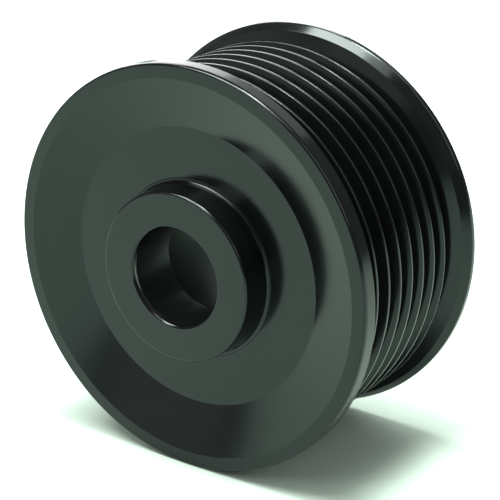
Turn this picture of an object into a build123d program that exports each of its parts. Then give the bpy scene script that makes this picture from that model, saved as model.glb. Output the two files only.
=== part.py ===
from build123d import *

import os
from math import cos, radians, sin, tan

# Multi-rib belt pulley, built up from turned pieces on one axis, +Y.
# Millimetres. Stations are distances along +Y from the middle of the belt track;
# the hub boss is at the front, towards -Y. Radii are measured from the axis.

# Belt track: standard PK grooves
RIB_PITCH = 3.56
GROOVES = 8
GROOVE_ANGLE = 40.0
RIB_CREST = 0.5
GROOVE_ROOT_RADIUS = 0.5
RIB_TIP_R = 32.63

# Flanges
FLANGE_R = 35.0
FRONT_LAND_Y = -18.3
REAR_FACE_Y = 16.9
FRONT_FLANGE_BEVEL = 0.55
REAR_FLANGE_BEVEL = 1.05
FRONT_EDGE_DEPTH = 0.12
FRONT_EDGE_LENGTH = 0.75
REAR_EDGE_CHAMFER = 0.2
SEAT_R = 27.5

# Dished front face
LAND_INNER_R = 32.55
DISH_FLOOR_R = 24.05
DISH_FLOOR_Y = -15.44

# Hub boss and the sleeve that lines its bore
BOSS_R = 14.5
BOSS_FOOT_R = 14.85
BOSS_FACE_Y = -20.85
BOSS_EDGE_CHAMFER = 0.35
BOSS_FOOT_FILLET = 0.42
HUB_SEAT_R = 15.45
HUB_COLLAR_R = 16.0
HUB_COLLAR_CHAMFER = 0.4
HUB_COLLAR_Y = -13.3
NUT_SEAT_Y = -10.9
BORE_R = 8.5
LIP_CHAMFER = 0.3
LIP_LENGTH = 0.95
SLEEVE_OUTER_R = 10.5
SLEEVE_EDGE_CHAMFER = 0.25

# Core with the nut recess, and the relief in the rear face
NUT_RECESS_R = 16.0
NUT_RECESS_CHAMFER = 1.0
CORE_REAR_Y = 15.45
CORE_EDGE_CHAMFER = 0.5
REAR_LAND_INNER_R = 32.0
REAR_RELIEF_DEPTH = 1.2

# Worked out from the sizes above
WALL_TILT = tan(radians(GROOVE_ANGLE / 2))
HALF_MOUTH = (RIB_PITCH - RIB_CREST) / 2
SHARP_V_R = RIB_TIP_R - HALF_MOUTH / WALL_TILT
ROOT_CENTRE_R = SHARP_V_R + GROOVE_ROOT_RADIUS / sin(radians(GROOVE_ANGLE / 2))
ROOT_R = ROOT_CENTRE_R - GROOVE_ROOT_RADIUS
TANGENT_R = ROOT_CENTRE_R - GROOVE_ROOT_RADIUS * sin(radians(GROOVE_ANGLE / 2))
TANGENT_HALF = GROOVE_ROOT_RADIUS * cos(radians(GROOVE_ANGLE / 2))
TRACK_END_Y = (GROOVES - 1) / 2 * RIB_PITCH
CLEAR_R = FLANGE_R + 2.0
CLEAR_HALF = TANGENT_HALF + (CLEAR_R - TANGENT_R) * WALL_TILT


def corner(section, radius, station):
    """The corner of a half section that lies nearest to a radius and a station."""
    return section.vertices().sort_by_distance((radius, station, 0))[0]


def save(piece, name):
    """Label a finished piece and write it under its own name."""
    piece.part.label = name
    export_step(piece.part, f"parts/{name}.step")


os.makedirs("parts", exist_ok=True)

# One groove's half section: straight walls, round bottom, open beyond the flanges
with BuildSketch(Plane.XY) as groove:
    with BuildLine():
        Polyline(
            (TANGENT_R, -TANGENT_HALF),
            (CLEAR_R, -CLEAR_HALF),
            (CLEAR_R, CLEAR_HALF),
            (TANGENT_R, TANGENT_HALF),
        )
        ThreePointArc((TANGENT_R, TANGENT_HALF), (ROOT_R, 0), (TANGENT_R, -TANGENT_HALF))
    make_face()

# Ribbed ring: it starts and ends in the middle of the outermost grooves
with BuildPart() as grooved_rim:
    with BuildSketch(Plane.XY):
        with BuildLine():
            Polyline(
                (SEAT_R, -TRACK_END_Y),
                (RIB_TIP_R, -TRACK_END_Y),
                (RIB_TIP_R, TRACK_END_Y),
                (SEAT_R, TRACK_END_Y),
                close=True,
            )
        make_face()
        with GridLocations(0, RIB_PITCH, 1, GROOVES):
            add(groove.sketch, mode=Mode.SUBTRACT)
    revolve(axis=Axis.Y)
save(grooved_rim, "grooved_rim")

# Front flange: dish with a flat floor and a conical side, outer land, wall of the first groove
with BuildPart() as front_flange:
    with BuildSketch(Plane.XY) as front_section:
        with BuildLine():
            Polyline(
                (HUB_SEAT_R, DISH_FLOOR_Y),
                (DISH_FLOOR_R, DISH_FLOOR_Y),
                (LAND_INNER_R, FRONT_LAND_Y),
                (FLANGE_R - FRONT_EDGE_DEPTH, FRONT_LAND_Y),
                (FLANGE_R, FRONT_LAND_Y + FRONT_EDGE_LENGTH),
                (FLANGE_R, -TRACK_END_Y),
                (SEAT_R, -TRACK_END_Y),
                (SEAT_R, NUT_SEAT_Y),
                (HUB_COLLAR_R, NUT_SEAT_Y),
                (HUB_COLLAR_R, HUB_COLLAR_Y),
                (HUB_SEAT_R, HUB_COLLAR_Y),
                close=True,
            )
        make_face()
        with Locations((0, -TRACK_END_Y)):
            add(groove.sketch, mode=Mode.SUBTRACT)
        chamfer(corner(front_section, FLANGE_R, -TRACK_END_Y), FRONT_FLANGE_BEVEL)
    revolve(axis=Axis.Y)
save(front_flange, "front_flange")

# Rear flange: wall of the last groove in front, shallow relief in the rear face
with BuildPart() as rear_flange:
    with BuildSketch(Plane.XY) as rear_section:
        with BuildLine():
            Polyline(
                (SEAT_R, TRACK_END_Y),
                (FLANGE_R, TRACK_END_Y),
                (FLANGE_R, REAR_FACE_Y),
                (REAR_LAND_INNER_R, REAR_FACE_Y),
                (SEAT_R, REAR_FACE_Y - REAR_RELIEF_DEPTH),
                close=True,
            )
        make_face()
        with Locations((0, TRACK_END_Y)):
            add(groove.sketch, mode=Mode.SUBTRACT)
        chamfer(corner(rear_section, FLANGE_R, TRACK_END_Y), REAR_FLANGE_BEVEL)
        chamfer(corner(rear_section, FLANGE_R, REAR_FACE_Y), REAR_EDGE_CHAMFER)
    revolve(axis=Axis.Y)
save(rear_flange, "rear_flange")

# Core: carries the rim and the rear flange, and holds the recess for the shaft's nut
with BuildPart() as core:
    with BuildSketch(Plane.XY) as core_section:
        with BuildLine():
            Polyline(
                (NUT_RECESS_R, NUT_SEAT_Y),
                (SEAT_R, NUT_SEAT_Y),
                (SEAT_R, CORE_REAR_Y),
                (NUT_RECESS_R, CORE_REAR_Y),
                close=True,
            )
        make_face()
        chamfer(corner(core_section, NUT_RECESS_R, CORE_REAR_Y), NUT_RECESS_CHAMFER)
        chamfer(corner(core_section, SEAT_R, CORE_REAR_Y), CORE_EDGE_CHAMFER)
    revolve(axis=Axis.Y)
save(core, "core")

# Hub: boss in front, slightly wider at its foot, collar behind the front flange, lip in front of the sleeve
with BuildPart() as hub:
    with BuildSketch(Plane.XY) as hub_section:
        with BuildLine():
            Polyline(
                (BORE_R, BOSS_FACE_Y),
                (BOSS_R, BOSS_FACE_Y),
                (BOSS_FOOT_R, DISH_FLOOR_Y),
                (HUB_SEAT_R, DISH_FLOOR_Y),
                (HUB_SEAT_R, HUB_COLLAR_Y),
                (HUB_COLLAR_R, HUB_COLLAR_Y),
                (HUB_COLLAR_R, NUT_SEAT_Y),
                (SLEEVE_OUTER_R, NUT_SEAT_Y),
                (SLEEVE_OUTER_R, BOSS_FACE_Y + LIP_LENGTH),
                (BORE_R, BOSS_FACE_Y + LIP_LENGTH),
                close=True,
            )
        make_face()
        fillet(corner(hub_section, BOSS_FOOT_R, DISH_FLOOR_Y), BOSS_FOOT_FILLET)
        chamfer(corner(hub_section, BOSS_R, BOSS_FACE_Y), BOSS_EDGE_CHAMFER)
        chamfer(corner(hub_section, BORE_R, BOSS_FACE_Y), LIP_CHAMFER)
        chamfer(corner(hub_section, HUB_COLLAR_R, NUT_SEAT_Y), HUB_COLLAR_CHAMFER)
    revolve(axis=Axis.Y)
save(hub, "hub")

# Sleeve that lines the bore, from the lip to the nut seat
with BuildPart() as shaft_sleeve:
    with BuildSketch(Plane.XY) as sleeve_section:
        with BuildLine():
            Polyline(
                (BORE_R, BOSS_FACE_Y + LIP_LENGTH),
                (SLEEVE_OUTER_R, BOSS_FACE_Y + LIP_LENGTH),
                (SLEEVE_OUTER_R, NUT_SEAT_Y),
                (BORE_R, NUT_SEAT_Y),
                close=True,
            )
        make_face()
        chamfer(corner(sleeve_section, BORE_R, NUT_SEAT_Y), SLEEVE_EDGE_CHAMFER)
    revolve(axis=Axis.Y)
save(shaft_sleeve, "shaft_sleeve")
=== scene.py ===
from math import acos, cos, pi, radians, sin, tan

import bmesh
import bpy
from mathutils import Matrix, Vector


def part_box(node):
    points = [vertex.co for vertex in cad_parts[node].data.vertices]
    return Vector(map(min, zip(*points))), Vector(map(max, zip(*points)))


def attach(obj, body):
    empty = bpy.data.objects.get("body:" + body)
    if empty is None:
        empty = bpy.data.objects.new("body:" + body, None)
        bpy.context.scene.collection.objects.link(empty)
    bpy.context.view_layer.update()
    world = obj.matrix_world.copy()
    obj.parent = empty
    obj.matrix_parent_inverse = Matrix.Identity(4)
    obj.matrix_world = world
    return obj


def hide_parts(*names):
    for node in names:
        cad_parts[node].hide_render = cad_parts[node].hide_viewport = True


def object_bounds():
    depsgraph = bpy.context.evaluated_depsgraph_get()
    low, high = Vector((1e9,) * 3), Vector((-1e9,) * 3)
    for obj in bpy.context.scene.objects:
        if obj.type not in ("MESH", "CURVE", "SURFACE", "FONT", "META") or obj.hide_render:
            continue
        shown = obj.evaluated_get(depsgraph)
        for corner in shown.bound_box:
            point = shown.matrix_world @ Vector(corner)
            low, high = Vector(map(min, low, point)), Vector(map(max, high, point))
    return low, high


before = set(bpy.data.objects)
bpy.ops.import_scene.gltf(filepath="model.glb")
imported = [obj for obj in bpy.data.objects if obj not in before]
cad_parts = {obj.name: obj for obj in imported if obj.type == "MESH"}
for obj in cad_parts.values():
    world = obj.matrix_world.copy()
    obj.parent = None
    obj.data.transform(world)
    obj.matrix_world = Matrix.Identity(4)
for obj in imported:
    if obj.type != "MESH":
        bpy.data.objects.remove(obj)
cad_low, cad_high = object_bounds()

MM = 0.001

# Facets round the axis of every turned piece
SEGMENTS = 384

# The pulley's main sizes, in millimetres: radius from the axis, station along +Y
FLANGE_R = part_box("front_flange")[1].x / MM
FRONT_LAND_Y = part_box("front_flange")[0].y / MM
REAR_FACE_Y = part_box("rear_flange")[1].y / MM
SEAT_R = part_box("core")[1].x / MM
NUT_SEAT_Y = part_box("hub")[1].y / MM
BOSS_FACE_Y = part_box("hub")[0].y / MM
CORE_REAR_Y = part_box("core")[1].y / MM
RIB_TIP_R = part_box("grooved_rim")[1].x / MM
TRACK_END_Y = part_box("grooved_rim")[1].y / MM
SLEEVE_OUTER_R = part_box("shaft_sleeve")[1].x / MM
SLEEVE_FRONT_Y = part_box("shaft_sleeve")[0].y / MM
HUB_COLLAR_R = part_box("hub")[1].x / MM

# Belt track
RIB_PITCH = 3.56
GROOVES = 8
RIB_CREST = 0.5
GROOVE_ROOT_RADIUS = 0.5
GROOVE_ROOT_STEPS = 6
GROOVE_HALF_ANGLE = radians(20)

# Dish, boss, bore, core and rear face
LAND_INNER_R = 32.55
DISH_FLOOR_R = 24.05
DISH_FLOOR_Y = -15.44
BOSS_R = 14.5
BOSS_FOOT_R = 14.85
HUB_SEAT_R = 15.45
HUB_COLLAR_Y = -13.3
HUB_COLLAR_CHAMFER = 0.4
BORE_R = 8.5
LIP_CHAMFER = 0.3
SLEEVE_EDGE_CHAMFER = 0.25
NUT_RECESS_R = 16.0
NUT_RECESS_CHAMFER = 1.0
CORE_EDGE_CHAMFER = 0.5
REAR_LAND_INNER_R = 32.0
REAR_RELIEF_DEPTH = 1.2

# Edges of the flanges: from the groove wall to the rim, and from the rim to the faces
REAR_BEVEL_INNER_R = 33.9
REAR_BEVEL_Y = 15.79
FRONT_BEVEL_INNER_R = 34.5
FRONT_BEVEL_Y = -15.39
FRONT_EDGE_DEPTH = 0.12
FRONT_EDGE_LENGTH = 0.75
REAR_EDGE_CHAMFER = 0.2

# Rounding of a corner and the steps of its arc. The wide ones with many steps carry a light line.
SHARP = (0, 0)
HUB_SEAM = (0.02, 1)
SLEEVE_SEAM = (0.03, 1)
CHAMFER_END = (0.05, 2)
FINE = (0.06, 2)
RIM_CORNER = (0.08, 3)
SMALL = (0.1, 2)
RIB_TIP = (0.13, 3)
SOFT = (0.15, 2)
LAND_EDGE = (0.25, 3)
DISH_CORNER = (0.3, 3)
FRONT_EDGE = (0.40, 14)
BOSS_FOOT = (0.42, 8)
BOSS_EDGE = (0.42, 16)
REAR_BEVEL_EDGE = (0.50, 10)

# Black film: how it mirrors, its noises, and where the painted light on the nut recess wall ends
FILM_TINT = (0.88, 1.0, 1.0)
FILM_IOR = 1.365
LINES_DETAIL = 3
GRAIN_SCALE = 5200
GRAIN_DETAIL = 2
PATCHES_SCALE = 70
PATCHES_DETAIL = 4
NOISE_LOW = 0.3
NOISE_HIGH = 0.7
BUMP_STRENGTH = 0.5
# Painted light: inside this radius the recess wall is paler, standing in for light that comes in
# through the rear opening
RECESS_PAINTED_LIGHT_R = (NUT_RECESS_R + 0.1) * MM
RECESS_FADE = 0.5 * MM

# Floor of pale paper
FLOOR_REACH = 3.0
PAPER_DARK = (0.39, 0.475, 0.42)
PAPER_LIGHT = (0.405, 0.495, 0.435)
PAPER_GRAIN_SCALE = 40
PAPER_GRAIN_DETAIL = 3
PAPER_ROUGHNESS = 0.8
PAPER_SPECULAR = 0.1

# Studio. Each light: name, direction from the pulley, distance, width and height in metres, watts
STUDIO_TINT = (0.98, 1.0, 0.97)
WORLD_STRENGTH = 0.21
LIGHTS = (
    ("key_above", (-0.30, -0.27, 0.92), 0.8, 0.38, 0.44, 11.0),
    ("key_wide", (-0.12, -0.30, 0.94), 0.95, 0.72, 0.56, 5.0),
    ("key_core", (0.02, 0.01, 1.00), 0.8, 0.30, 0.15, 12.5),
    ("panel_overhead", (0.12, 0.34, 0.93), 0.8, 0.46, 0.26, 2.2),
    ("panel_front", (-0.20, -0.80, 0.56), 0.9, 0.34, 0.24, 2.1),
    ("panel_front_low", (-0.50, -0.84, 0.20), 0.9, 1.0, 0.35, 0.68),
    ("panel_back_left", (-0.67, 0.67, 0.31), 0.9, 0.70, 0.45, 3.6),
    ("panel_back", (-0.10, 0.76, 0.62), 0.9, 0.60, 0.26, 0.45),
    ("panel_right_high", (0.66, 0.12, 0.74), 0.8, 0.40, 0.35, 1.1),
    ("panel_right", (0.88, 0.0, 0.47), 0.8, 0.40, 0.22, 0.9),
)

# Photograph's view: the camera's direction, its distance and offsets from a station on the
# axis in millimetres, its lens and sensor, and its clip distances in metres
VIEW_AZIMUTH = radians(35.18)
VIEW_ELEVATION = radians(20.84)
VIEW_DISTANCE = 284.0
VIEW_RIGHT = 11.09
VIEW_UP = 3.885
VIEW_STATION = -18.49
LENS = 125.0
SENSOR = 36.0
CLIP_START = 0.01
CLIP_END = 20


# ---------------------------------------------------------------- turned pieces

def rounded(corners):
    """Profile points from corners (radius, station, rounding, steps): each rounding becomes an arc."""
    points = []
    count = len(corners)
    for i, (x, y, rounding, steps) in enumerate(corners):
        here = Vector((x, y))
        if rounding <= 0:
            points.append(here)
            continue
        to_last = (Vector(corners[i - 1][:2]) - here).normalized()
        to_next = (Vector(corners[(i + 1) % count][:2]) - here).normalized()
        half = acos(max(-1, min(1, to_last.dot(to_next)))) / 2
        middle = (to_last + to_next).normalized()
        centre = here + middle * (rounding / sin(half))
        first = here + to_last * (rounding / tan(half)) - centre
        last = here + to_next * (rounding / tan(half)) - centre
        sweep = first.angle_signed(last)
        for k in range(steps + 1):
            turn = Matrix.Rotation(-sweep * k / steps, 2)
            points.append(centre + turn @ first)
    return points


def turned(name, corners, node, material):
    """A ring turned about +Y from a closed profile, standing for a CAD node."""
    mesh = bpy.data.meshes.new(name)
    build = bmesh.new()
    rings = []
    for p in rounded(corners):
        ring = []
        for j in range(SEGMENTS):
            angle = 2 * pi * j / SEGMENTS
            ring.append(build.verts.new((p.x * cos(angle) * MM, p.y * MM, p.x * sin(angle) * MM)))
        rings.append(ring)
    for i, ring in enumerate(rings):
        after = rings[(i + 1) % len(rings)]
        for j in range(SEGMENTS):
            k = (j + 1) % SEGMENTS
            build.faces.new((ring[j], ring[k], after[k], after[j]))
    bmesh.ops.recalc_face_normals(build, faces=build.faces)
    for face in build.faces:
        face.smooth = True
    build.to_mesh(mesh)
    build.free()
    piece = bpy.data.objects.new(name, mesh)
    bpy.context.scene.collection.objects.link(piece)
    mesh.materials.append(material)
    weighted = piece.modifiers.new("weighted_normals", "WEIGHTED_NORMAL")
    weighted.mode = "FACE_AREA"
    weighted.weight = 100
    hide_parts(node)
    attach(piece, "root")


# -------------------------------------------------------------------- materials

def new_material(name):
    """A new material, its nodes and links, and its shader."""
    material = bpy.data.materials.new(name)
    material.use_nodes = True
    nodes = material.node_tree.nodes
    return material, nodes, material.node_tree.links, nodes["Principled BSDF"]


def radius_and_station(nodes, links):
    """The coordinates node, and sockets with the radius and the station in metres."""
    coords = nodes.new("ShaderNodeTexCoord")
    split = nodes.new("ShaderNodeSeparateXYZ")
    links.new(coords.outputs["Object"], split.inputs[0])
    squares = []
    for axis in ("X", "Z"):
        square = nodes.new("ShaderNodeMath")
        square.operation = "MULTIPLY"
        links.new(split.outputs[axis], square.inputs[0])
        links.new(split.outputs[axis], square.inputs[1])
        squares.append(square)
    total = nodes.new("ShaderNodeMath")
    total.operation = "ADD"
    links.new(squares[0].outputs[0], total.inputs[0])
    links.new(squares[1].outputs[0], total.inputs[1])
    root = nodes.new("ShaderNodeMath")
    root.operation = "SQRT"
    links.new(total.outputs[0], root.inputs[0])
    return coords, root.outputs[0], split.outputs["Y"]


def turning_lines(nodes, links, scale):
    """Noise that only changes with radius and station, as the lines left by turning do.

    Comes with the coordinates node and the radius that it was made from.
    """
    coords, radius, station = radius_and_station(nodes, links)
    join = nodes.new("ShaderNodeCombineXYZ")
    links.new(radius, join.inputs["X"])
    links.new(station, join.inputs["Y"])
    lines = nodes.new("ShaderNodeTexNoise")
    lines.inputs["Scale"].default_value = scale
    lines.inputs["Detail"].default_value = LINES_DETAIL
    links.new(join.outputs[0], lines.inputs["Vector"])
    return coords, radius, lines.outputs["Fac"]


def grain(nodes, links, coords, scale, detail):
    """Noise that changes in every direction."""
    noise = nodes.new("ShaderNodeTexNoise")
    noise.inputs["Scale"].default_value = scale
    noise.inputs["Detail"].default_value = detail
    links.new(coords.outputs["Object"], noise.inputs["Vector"])
    return noise.outputs["Fac"]


def inside(nodes, links, radius, limit, fade):
    """A factor that is 1 out to a radius and falls to 0 over the fade beyond it, in metres."""
    mapped = nodes.new("ShaderNodeMapRange")
    mapped.inputs["From Min"].default_value = limit
    mapped.inputs["From Max"].default_value = limit + fade
    mapped.inputs["To Min"].default_value = 1
    mapped.inputs["To Max"].default_value = 0
    links.new(radius, mapped.inputs["Value"])
    return mapped.outputs["Result"]


def spread(nodes, links, factor, low, high):
    """Maps the middle of a factor's range onto low to high."""
    mapped = nodes.new("ShaderNodeMapRange")
    mapped.inputs["From Min"].default_value = NOISE_LOW
    mapped.inputs["From Max"].default_value = NOISE_HIGH
    mapped.inputs["To Min"].default_value = low
    mapped.inputs["To Max"].default_value = high
    links.new(factor, mapped.inputs["Value"])
    return mapped.outputs["Result"]


def tinted(nodes, links, factor, dark, light):
    """Maps the middle of a factor's range onto dark to light."""
    ramp = nodes.new("ShaderNodeValToRGB")
    ramp.color_ramp.elements[0].position = NOISE_LOW
    ramp.color_ramp.elements[0].color = (*dark, 1)
    ramp.color_ramp.elements[1].position = NOISE_HIGH
    ramp.color_ramp.elements[1].color = (*light, 1)
    links.new(factor, ramp.inputs["Fac"])
    return ramp.outputs["Color"]


def bumped(nodes, links, layers):
    """Chain of bumps, one for each (height socket, distance in metres)."""
    normal = None
    for height, distance in layers:
        bump = nodes.new("ShaderNodeBump")
        bump.inputs["Distance"].default_value = distance
        bump.inputs["Strength"].default_value = BUMP_STRENGTH
        links.new(height, bump.inputs["Height"])
        if normal is not None:
            links.new(normal, bump.inputs["Normal"])
        normal = bump.outputs["Normal"]
    return normal


def film(name, dark, light, rough, lines_scale, lines_depth, grain_depth, painted_light_wall_r=None):
    """Black film with faint turning lines and a fine grain; depths are in metres.

    The dark and light colours, and the two ends of rough, alternate in soft patches. Given a
    wall radius in metres, the light end lies inside it as painted light and the dark end outside.
    """
    material, nodes, links, shader = new_material(name)
    coords, radius, lines = turning_lines(nodes, links, lines_scale)
    fine = grain(nodes, links, coords, GRAIN_SCALE, GRAIN_DETAIL)
    if painted_light_wall_r is None:
        factor = grain(nodes, links, coords, PATCHES_SCALE, PATCHES_DETAIL)
    else:
        factor = inside(nodes, links, radius, painted_light_wall_r, RECESS_FADE)
    links.new(tinted(nodes, links, factor, dark, light), shader.inputs["Base Color"])
    links.new(spread(nodes, links, factor, *rough), shader.inputs["Roughness"])
    shader.inputs["IOR"].default_value = FILM_IOR
    shader.inputs["Specular Tint"].default_value = (*FILM_TINT, 1)
    normal = bumped(nodes, links, ((lines, lines_depth), (fine, grain_depth)))
    links.new(normal, shader.inputs["Normal"])
    return material


faces_finish = film(
    "anodised_faces",
    dark=(0.0015, 0.0020, 0.0018),
    light=(0.0022, 0.0028, 0.0025),
    rough=(0.12, 0.17),
    lines_scale=2600,
    lines_depth=3e-6,
    grain_depth=5e-6,
)
grooves_finish = film(
    "anodised_grooves",
    dark=(0.0014, 0.0018, 0.0016),
    light=(0.0020, 0.0025, 0.0022),
    rough=(0.12, 0.17),
    lines_scale=3600,
    lines_depth=4e-6,
    grain_depth=3e-6,
)
# Nut recess: the light colour on its wall is painted light, for light that comes in through the rear
# opening
recess_painted_light_finish = film(
    "anodised_recess_painted_light",
    dark=(0.0019, 0.0024, 0.0021),
    light=(0.085, 0.103, 0.093),
    rough=(0.16, 0.36),
    lines_scale=1400,
    lines_depth=6e-6,
    grain_depth=5e-6,
    painted_light_wall_r=RECESS_PAINTED_LIGHT_R,
)
sleeve_finish = film(
    "blackened_sleeve",
    dark=(0.0025, 0.0025, 0.0026),
    light=(0.0040, 0.0040, 0.0042),
    rough=(0.14, 0.30),
    lines_scale=3000,
    lines_depth=4e-6,
    grain_depth=6e-6,
)


# ----------------------------------------------------------------- belt grooves

# A groove is a V with straight walls and a round root
HALF_MOUTH = (RIB_PITCH - RIB_CREST) / 2
WALL_TILT = tan(GROOVE_HALF_ANGLE)
SHARP_V_R = RIB_TIP_R - HALF_MOUTH / WALL_TILT
ROOT_R = SHARP_V_R + GROOVE_ROOT_RADIUS / sin(GROOVE_HALF_ANGLE) - GROOVE_ROOT_RADIUS


def wall_station(radius):
    """Distance of a groove's wall from the groove's middle at a radius."""
    return (radius - SHARP_V_R) * WALL_TILT


def half_root(side, groove_y):
    """Corners of half a groove's round root, from its middle out to one wall."""
    centre = ROOT_R + GROOVE_ROOT_RADIUS
    quarter = pi / 2 - GROOVE_HALF_ANGLE
    points = []
    for k in range(GROOVE_ROOT_STEPS + 1):
        angle = quarter * k / GROOVE_ROOT_STEPS
        radius = centre - GROOVE_ROOT_RADIUS * cos(angle)
        station = groove_y + side * GROOVE_ROOT_RADIUS * sin(angle)
        points.append((radius, station, *SHARP))
    return points


# ------------------------------------------------------------------- the pieces

first_groove = -TRACK_END_Y
last_groove = TRACK_END_Y

# Ribbed ring: starts and ends in the middle of the outermost grooves
rim_profile = [(SEAT_R, first_groove, *SHARP)]
for g in range(GROOVES):
    middle = first_groove + g * RIB_PITCH
    if g > 0:
        rim_profile += [(RIB_TIP_R, middle - HALF_MOUTH, *RIB_TIP)]
        rim_profile += half_root(-1, middle)[:0:-1]
    rim_profile += half_root(1, middle) if g < GROOVES - 1 else half_root(1, middle)[:1]
    if g < GROOVES - 1:
        rim_profile += [(RIB_TIP_R, middle + HALF_MOUTH, *RIB_TIP)]
rim_profile += [(SEAT_R, last_groove, *SHARP)]
turned("grooved_rim_turned", rim_profile, "grooved_rim", grooves_finish)

# Front flange: flat dish floor, conical side, land, rim, bevel, wall of the first groove
front_profile = [
    (HUB_SEAT_R, DISH_FLOOR_Y, *FINE),
    (DISH_FLOOR_R, DISH_FLOOR_Y, *DISH_CORNER),
    (LAND_INNER_R, FRONT_LAND_Y, *LAND_EDGE),
    (FLANGE_R - FRONT_EDGE_DEPTH, FRONT_LAND_Y, *FRONT_EDGE),
    (FLANGE_R, FRONT_LAND_Y + FRONT_EDGE_LENGTH, *CHAMFER_END),
    (FLANGE_R, FRONT_BEVEL_Y, *RIM_CORNER),
    (FRONT_BEVEL_INNER_R, first_groove - wall_station(FRONT_BEVEL_INNER_R), *SMALL),
    *half_root(-1, first_groove)[::-1],
    (SEAT_R, first_groove, *SHARP),
    (SEAT_R, NUT_SEAT_Y, *SHARP),
    (HUB_COLLAR_R, NUT_SEAT_Y, *SHARP),
    (HUB_COLLAR_R, HUB_COLLAR_Y, *SHARP),
    (HUB_SEAT_R, HUB_COLLAR_Y, *SHARP),
]
turned("front_flange_turned", front_profile, "front_flange", faces_finish)

# Rear flange: wall of the last groove, bevel, rim, rear land, shallow relief
rear_profile = [
    (SEAT_R, last_groove, *SHARP),
    *half_root(1, last_groove),
    (REAR_BEVEL_INNER_R, last_groove + wall_station(REAR_BEVEL_INNER_R), *SOFT),
    (FLANGE_R, REAR_BEVEL_Y, *REAR_BEVEL_EDGE),
    (FLANGE_R, REAR_FACE_Y - REAR_EDGE_CHAMFER, *CHAMFER_END),
    (FLANGE_R - REAR_EDGE_CHAMFER, REAR_FACE_Y, *CHAMFER_END),
    (REAR_LAND_INNER_R, REAR_FACE_Y, *SOFT),
    (SEAT_R, REAR_FACE_Y - REAR_RELIEF_DEPTH, *FINE),
]
turned("rear_flange_turned", rear_profile, "rear_flange", faces_finish)

# Core: carries the rim and the rear flange, with the nut recess in its middle
core_profile = [
    (NUT_RECESS_R, NUT_SEAT_Y, *SHARP),
    (SEAT_R, NUT_SEAT_Y, *SHARP),
    (SEAT_R, CORE_REAR_Y - CORE_EDGE_CHAMFER, *SMALL),
    (SEAT_R - CORE_EDGE_CHAMFER, CORE_REAR_Y, *SMALL),
    (NUT_RECESS_R + NUT_RECESS_CHAMFER, CORE_REAR_Y, *SMALL),
    (NUT_RECESS_R, CORE_REAR_Y - NUT_RECESS_CHAMFER, *SMALL),
]
turned("core_turned", core_profile, "core", recess_painted_light_finish)

# Hub: lip of the bore, boss and its foot in front, collar behind the front flange
hub_profile = [
    (BORE_R, BOSS_FACE_Y + LIP_CHAMFER, *CHAMFER_END),
    (BORE_R + LIP_CHAMFER, BOSS_FACE_Y, *CHAMFER_END),
    (BOSS_R, BOSS_FACE_Y, *BOSS_EDGE),
    (BOSS_FOOT_R, DISH_FLOOR_Y, *BOSS_FOOT),
    (HUB_SEAT_R, DISH_FLOOR_Y, *HUB_SEAM),
    (HUB_SEAT_R, HUB_COLLAR_Y, *SHARP),
    (HUB_COLLAR_R, HUB_COLLAR_Y, *SHARP),
    (HUB_COLLAR_R, NUT_SEAT_Y - HUB_COLLAR_CHAMFER, *SHARP),
    (HUB_COLLAR_R - HUB_COLLAR_CHAMFER, NUT_SEAT_Y, *SHARP),
    (SLEEVE_OUTER_R, NUT_SEAT_Y, *SHARP),
    (SLEEVE_OUTER_R, SLEEVE_FRONT_Y, *SHARP),
    (BORE_R, SLEEVE_FRONT_Y, *SHARP),
]
turned("hub_turned", hub_profile, "hub", faces_finish)

# Sleeve that lines the bore, from the lip to the nut seat
sleeve_profile = [
    (BORE_R, SLEEVE_FRONT_Y, *SLEEVE_SEAM),
    (SLEEVE_OUTER_R, SLEEVE_FRONT_Y, *SHARP),
    (SLEEVE_OUTER_R, NUT_SEAT_Y, *SHARP),
    (BORE_R + SLEEVE_EDGE_CHAMFER, NUT_SEAT_Y, *CHAMFER_END),
    (BORE_R, NUT_SEAT_Y - SLEEVE_EDGE_CHAMFER, *CHAMFER_END),
]
turned("shaft_sleeve_bored", sleeve_profile, "shaft_sleeve", sleeve_finish)


# ------------------------------------------------------- floor, light and camera

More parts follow.
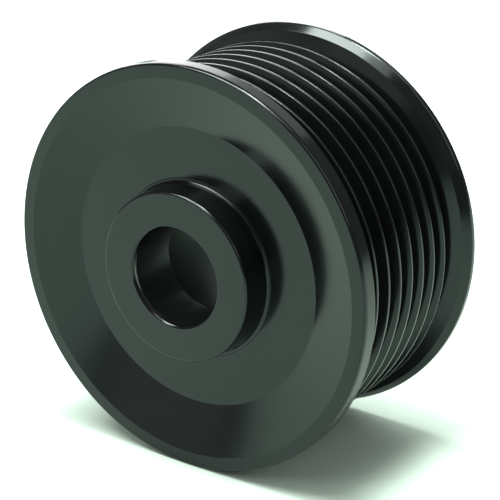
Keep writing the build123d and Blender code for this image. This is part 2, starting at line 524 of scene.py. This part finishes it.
floor_mesh = bpy.data.meshes.new("floor")
floor_corners = [(x * FLOOR_REACH, y * FLOOR_REACH, 0) for x, y in ((-1, -1), (1, -1), (1, 1), (-1, 1))]
floor_mesh.from_pydata(floor_corners, [], [(0, 1, 2, 3)])
floor = bpy.data.objects.new("floor", floor_mesh)
bpy.context.scene.collection.objects.link(floor)
floor.location.z = cad_low.z
floor_paper, paper_nodes, paper_links, paper = new_material("white_paper")
paper_coords = paper_nodes.new("ShaderNodeTexCoord")
paper_grain = grain(paper_nodes, paper_links, paper_coords, PAPER_GRAIN_SCALE, PAPER_GRAIN_DETAIL)
paper_colour = tinted(paper_nodes, paper_links, paper_grain, PAPER_DARK, PAPER_LIGHT)
paper_links.new(paper_colour, paper.inputs["Base Color"])
paper.inputs["Roughness"].default_value = PAPER_ROUGHNESS
paper.inputs["Specular IOR Level"].default_value = PAPER_SPECULAR
floor_mesh.materials.append(floor_paper)


def area_light(name, direction, distance, width, height, power):
    """A soft box that faces the pulley from a direction."""
    data = bpy.data.lights.new(name, "AREA")
    data.shape = "RECTANGLE"
    data.size = width
    data.size_y = height
    data.energy = power
    data.color = STUDIO_TINT
    light = bpy.data.objects.new(name, data)
    bpy.context.scene.collection.objects.link(light)
    away = Vector(direction).normalized()
    light.location = away * distance
    light.rotation_mode = "QUATERNION"
    light.rotation_quaternion = away.to_track_quat("Z", "Y")


for settings in LIGHTS:
    area_light(*settings)

world = bpy.data.worlds.new("studio")
bpy.context.scene.world = world
world.use_nodes = True
world.node_tree.nodes["Background"].inputs["Color"].default_value = (*STUDIO_TINT, 1)
world.node_tree.nodes["Background"].inputs["Strength"].default_value = WORLD_STRENGTH

back = Vector(
    (
        sin(VIEW_AZIMUTH) * cos(VIEW_ELEVATION),
        -cos(VIEW_AZIMUTH) * cos(VIEW_ELEVATION),
        sin(VIEW_ELEVATION),
    )
)
right = Vector((0, 0, 1)).cross(back).normalized()
up = back.cross(right)
camera_data = bpy.data.cameras.new("camera")
camera_data.lens = LENS
camera_data.sensor_width = SENSOR
camera_data.clip_start = CLIP_START
camera_data.clip_end = CLIP_END
camera = bpy.data.objects.new("camera", camera_data)
bpy.context.scene.collection.objects.link(camera)
camera.location = (
    Vector((0, VIEW_STATION, 0)) + VIEW_DISTANCE * back + VIEW_RIGHT * right + VIEW_UP * up
) * MM
camera.rotation_mode = "QUATERNION"
camera.rotation_quaternion = back.to_track_quat("Z", "Y")
bpy.context.scene.camera = camera
bpy.context.scene.view_settings.view_transform = "Standard"
